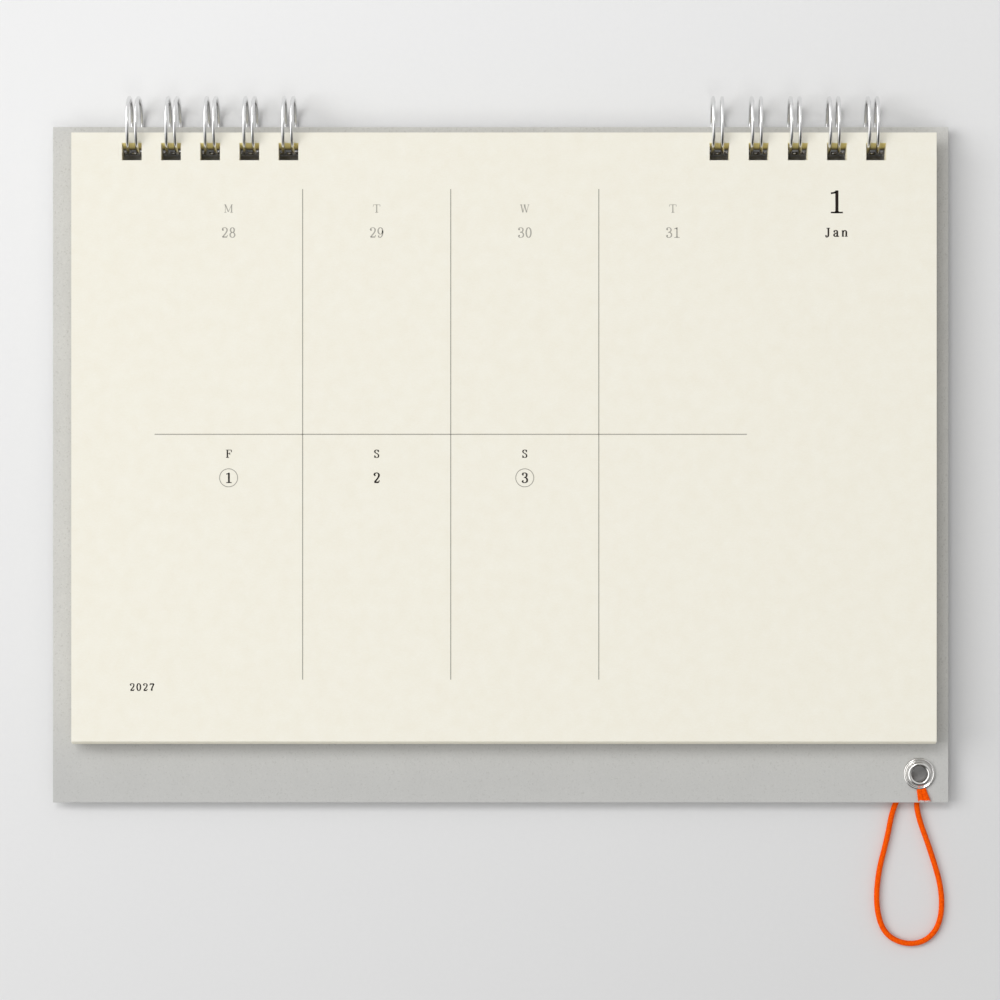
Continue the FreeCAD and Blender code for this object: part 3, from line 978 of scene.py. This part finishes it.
def washer_profile():
    bead_centre = (washer_outer - washer_bead, washer_front + washer_bead)
    bead = arc_profile(bead_centre, (washer_bead, washer_bead), 0, -100, 8)
    groove = [(radius * mm, washer_front + sink * mm) for radius, sink in washer_groove]
    foot = [(washer_inner, board_front), (washer_outer, board_front)]
    return [*foot, *bead, *groove, (washer_inner, washer_front)]


def nickel_finish():
    plate = Finish("nickel_plate", Metallic=1.0)
    worn = plate.noise(1.6, detail=4.0)
    plate.colour(plate.mix(worn, tuple(c * 0.9 for c in nickel), nickel))
    plate.rough(worn * 0.10 + 0.07)
    plate.bump(worn, 0.003 * mm)
    return plate.material


def shade_smooth(made, angle=35):
    for polygon in made.data.polygons:
        polygon.use_smooth = True
    made.data.set_sharp_from_angle(angle=math.radians(angle))


plated = nickel_finish()
for name, profile, node in (
    ("rolled_eyelet", eyelet_profile(), "eyelet"),
    ("pressed_washer", washer_profile(), "eyelet_washer"),
):
    ring = mesh_object(name, turned(profile), plated)
    shade_smooth(ring)
    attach(ring, "board")
    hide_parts(node)

# The elastic. One piece of round braided cord, 1.2 mm thick, folded into a loop. It leaves
# the back of the eyelet, hangs below the board and goes back in beside its start.
cord_diameter = 1.2 * mm
stitch_density = 2.3
braid_orange = (1.0, 0.125, 0.0)
braid_shade = (0.74, 0.05, 0.0)
rubber_white = (0.88, 0.86, 0.83)
loop_route = [
    (-2.0, 0.65, -2.05),
    (-4.05, 0.7, -4.8),
    (-5.6, 0.8, -8.4),
    (-6.65, 0.9, -14.2),
    (-8.75, 0.95, -22.2),
    (-9.1, 0.9, -29.7),
    (-7.3, 0.85, -35.2),
    (-3.0, 0.8, -37.5),
    (1.8, 0.85, -36.9),
    (5.0, 0.9, -33.0),
    (5.4, 0.95, -25.7),
    (2.7, 0.9, -16.7),
    (0.1, 0.8, -9.7),
    (-0.4, 0.7, -5.8),
    (0.3, 0.65, -2.9),
]


def route_curve(name, bevel):
    origin = eyelet_axis + Vector((0, board_back, 0))
    curve = bpy.data.curves.new(name, "CURVE")
    curve.dimensions = "3D"
    curve.resolution_u = 16
    curve.bevel_depth = bevel
    curve.bevel_resolution = 6
    curve.use_fill_caps = True
    spline = curve.splines.new("NURBS")
    spline.points.add(len(loop_route) - 1)
    for place, step in zip(spline.points, loop_route):
        place.co = (*(origin + Vector(step) * mm), 1)
    spline.order_u = 3
    spline.use_endpoint_u = True
    made = bpy.data.objects.new(name, curve)
    bpy.context.scene.collection.objects.link(made)
    return made


def braid_finish():
    braid = Finish("orange_braid", Roughness=0.75)
    braid.shader.inputs["Specular IOR Level"].default_value = 0.1
    stitch = braid.node("ShaderNodeTexVoronoi", {}, {"Vector": braid.place(), "Scale": stitch_density})
    yarn = braid.noise(7.0, detail=3.0)
    braid.colour(braid.mix(stitch * 0.9 + yarn * 0.3 - 0.2, braid_orange, braid_shade))
    braid.bump(stitch * -1 + yarn * 0.4, 0.09 * mm)
    return braid.material


orange = braid_finish()
elastic = route_curve("elastic_cord", cord_diameter / 2)
elastic.data.materials.append(orange)
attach(elastic, "board")
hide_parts("elastic_loop")

# The cord's two cut ends. They come out in front, squeezed flat under the washer, and were
# trimmed together, so their white rubber cores show at the cut.
end_top_size = (1.04 * mm, 0.5 * mm)
end_bottom_size = (1.5 * mm, 0.85 * mm)
end_drifts = (0.62 * mm, 1.02 * mm)
end_offset = 0.35 * mm
end_gap = -0.14 * mm
end_lift = 0.08 * mm
cut_slant = 0.46 * mm
cut_fray = 0.07 * mm
braid_skin = 0.08 * mm
end_steps = 6
end_sides = 20


def cut_end(side, drift):
    """One squeezed end: rings of growing size down the board, closed by a slanting cut."""
    top_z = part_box("elastic_ends")[1].z
    bottom_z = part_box("elastic_ends")[0].z + end_lift
    bm = bmesh.new()
    rings = []
    for i in range(end_steps + 1):
        share = i / end_steps
        width = end_top_size[0] + (end_bottom_size[0] - end_top_size[0]) * share
        thick = end_top_size[1] + (end_bottom_size[1] - end_top_size[1]) * share
        spread = side * (end_top_size[0] + end_gap) / 2
        x = eyelet_axis.x + end_offset + spread + drift * share
        z = top_z + (bottom_z - top_z) * share
        centre = (x, board_front - thick / 2, z)
        place = Matrix.Translation(centre) @ Matrix.Diagonal((width, thick, 1, 1))
        made = bmesh.ops.create_circle(bm, cap_ends=False, segments=end_sides, radius=0.5, matrix=place)
        rings.append([edge for edge in bm.edges if all(v in made["verts"] for v in edge.verts)])
    for vert in made["verts"]:
        slant = cut_slant * (board_front - vert.co.y) / end_bottom_size[1]
        vert.co.z += slant + random.uniform(-1, 1) * cut_fray
    for upper, lower in zip(rings, rings[1:]):
        bmesh.ops.bridge_loops(bm, edges=upper + lower)
    bmesh.ops.holes_fill(bm, edges=rings[0], sides=0)
    inner = bmesh.ops.holes_fill(bm, edges=rings[-1], sides=0)["faces"]
    bmesh.ops.inset_region(bm, faces=inner, thickness=braid_skin, use_even_offset=True)
    bmesh.ops.recalc_face_normals(bm, faces=bm.faces[:])
    for face in inner:
        face.material_index = 1
    return bm


def core_finish():
    core = Finish("rubber_core", Roughness=0.8)
    threads = core.noise(5.0, detail=2.0)
    core.colour(core.mix(threads, tuple(c * 0.8 for c in rubber_white), rubber_white))
    return core.material


white_core = core_finish()
random.seed(2)
for name, side, drift in (("left", -1, end_drifts[0]), ("right", 1, end_drifts[1])):
    end = mesh_object("cut_end_" + name, cut_end(side, drift), orange, white_core)
    shade_smooth(end)
    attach(end, "board")
    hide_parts("elastic_ends")
